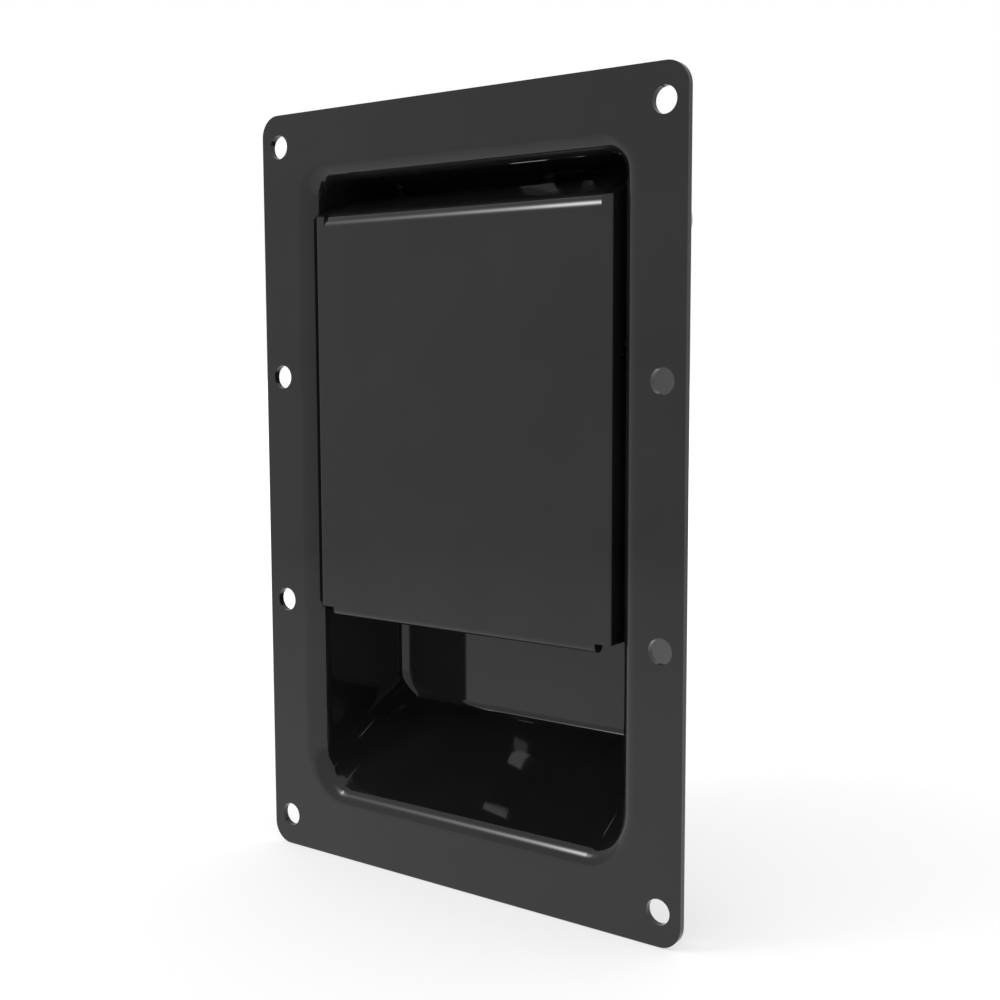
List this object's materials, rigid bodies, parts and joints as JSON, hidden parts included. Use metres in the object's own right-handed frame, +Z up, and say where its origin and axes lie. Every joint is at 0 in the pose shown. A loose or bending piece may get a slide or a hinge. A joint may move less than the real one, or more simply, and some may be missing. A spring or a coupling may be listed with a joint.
{
  "type": "paddle latch",
  "caption": "Flush paddle latch: flanged steel pan with a sprung paddle over a finger pocket, and a rocking lever for latch rods behind it.",
  "frame": {"origin": "centre of the flange's rear face, the face that seats on the door", "axes": "+X to the right seen from the front, +Y to the rear into the door, +Z up"},
  "size_m": [0.149, 0.0564, 0.2286],
  "materials": {
    "black_paint": "glossy black powder coat",
    "pin_steel": "bright turned steel",
    "zinc_steel": "zinc plated",
    "spring_steel": "drawn spring wire",
    "bushing_plastic": "natural acetal",
    "roller_plastic": "black acetal",
    "black_rubber": "matt moulded rubber"
  },
  "bodies": {
    "pan_body": {"mounting_pan": "black_paint", "hinge_pin": "pin_steel", "pin_washer": "zinc_steel", "pin_clip": "spring_steel", "spring_sleeve_left": "bushing_plastic", "spring_sleeve_right": "bushing_plastic", "rest_bumper": "black_rubber", "lever_stud": "pin_steel", "lever_washer": "zinc_steel", "lever_clip": "spring_steel"},
    "paddle_body": {"paddle": "black_paint", "hinge_bushing_left": "bushing_plastic", "hinge_bushing_right": "bushing_plastic", "trip_lever": "zinc_steel", "torsion_spring_left": "spring_steel", "torsion_spring_right": "spring_steel"},
    "lever_body": {"rod_lever": "zinc_steel", "lever_bushing": "bushing_plastic", "roller_pin": "pin_steel"},
    "roller_body": {"drive_roller": "roller_plastic"}
  },
  "joints": [
    {"name": "paddle_pivot", "type": "hinge", "parent": "pan_body", "child": "paddle_body", "pos_m": [0, 0.0261, 0.078], "axis": [-1, 0, 0], "range_deg": [0, 12], "stiffness_Nm_per_rad": 0.8, "springref_deg": -20.05, "deforming": ["torsion_spring_left", "torsion_spring_right"]},
    {"name": "rod_lever_pivot", "type": "hinge", "parent": "pan_body", "child": "lever_body", "pos_m": [-0.01557, 0.0413, 0.05909], "axis": [0, 1, 0], "range_deg": [0, 12]},
    {"name": "roller_spin", "type": "hinge", "parent": "lever_body", "child": "roller_body", "pos_m": [0.0078, 0.0489, 0.06155], "axis": [0, 1, 0], "continuous": true}
  ],
  "couplings": [
    {"joint": "rod_lever_pivot", "follows": "paddle_pivot", "ratio": 1}
  ]
}
